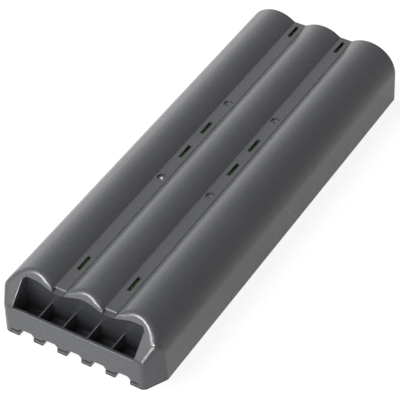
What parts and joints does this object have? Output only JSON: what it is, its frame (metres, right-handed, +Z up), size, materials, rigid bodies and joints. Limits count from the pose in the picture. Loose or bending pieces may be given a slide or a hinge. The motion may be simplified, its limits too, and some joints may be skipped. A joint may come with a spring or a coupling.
{
  "type": "calibrator battery pack",
  "caption": "Flat rechargeable battery pack with long rounded humps over its cell rows, a finger pocket in the leaning front and notched contact bays below it.",
  "frame": {"origin": "middle of the bottom face", "axes": "+X to the right seen from the contact end, +Y away from the contact end along the pack, +Z up through the humps"},
  "size_m": [0.0558, 0.1542, 0.0204],
  "materials": {
    "shell_plastic": "fine satin texture, charcoal grey",
    "cover_plastic": "fine satin texture, charcoal grey",
    "green_sleeve": "shrunk glossy film",
    "cell_steel": "nickel-plated steel",
    "insulating_paper": "vulcanised paper",
    "nickel_strip": "rolled nickel",
    "contact_metal": "plated spring metal",
    "board_laminate": "lacquered laminate",
    "component_black": "moulded epoxy",
    "fuse_yellow": "dipped coating",
    "lead_black": "flexible insulation",
    "lead_red": "flexible insulation",
    "lead_white": "flexible insulation",
    "foam": "closed-cell foam"
  },
  "bodies": {
    "root": {"board_components": "component_black", "bottom_cover": "cover_plastic", "cell_1_can": "cell_steel", "cell_1_cap": "cell_steel", "cell_1_sleeve": "green_sleeve", "cell_2_can": "cell_steel", "cell_2_cap": "cell_steel", "cell_2_sleeve": "green_sleeve", "cell_3_can": "cell_steel", "cell_3_cap": "cell_steel", "cell_3_sleeve": "green_sleeve", "cell_4_can": "cell_steel", "cell_4_cap": "cell_steel", "cell_4_sleeve": "green_sleeve", "cell_5_can": "cell_steel", "cell_5_cap": "cell_steel", "cell_5_sleeve": "green_sleeve", "cell_6_can": "cell_steel", "cell_6_cap": "cell_steel", "cell_6_sleeve": "green_sleeve", "cell_insulator_rings": "insulating_paper", "circuit_board": "board_laminate", "contact_1": "contact_metal", "contact_2": "contact_metal", "contact_3": "contact_metal", "contact_4": "contact_metal", "contact_5": "contact_metal", "foam_pad": "foam", "front_insulator": "insulating_paper", "front_link": "nickel_strip", "middle_link_1": "nickel_strip", "middle_link_2": "nickel_strip", "middle_link_3": "nickel_strip", "negative_lead": "lead_black", "negative_tab": "nickel_strip", "positive_lead_front": "lead_red", "positive_lead_rear": "lead_red", "positive_tab": "nickel_strip", "rear_insulator": "insulating_paper", "rear_link": "nickel_strip", "resettable_fuse": "fuse_yellow", "thermal_cutoff": "component_black", "thermistor": "component_black", "thermistor_lead_1": "lead_white", "thermistor_lead_2": "lead_white", "top_shell": "shell_plastic"}
  },
  "joints": []
}
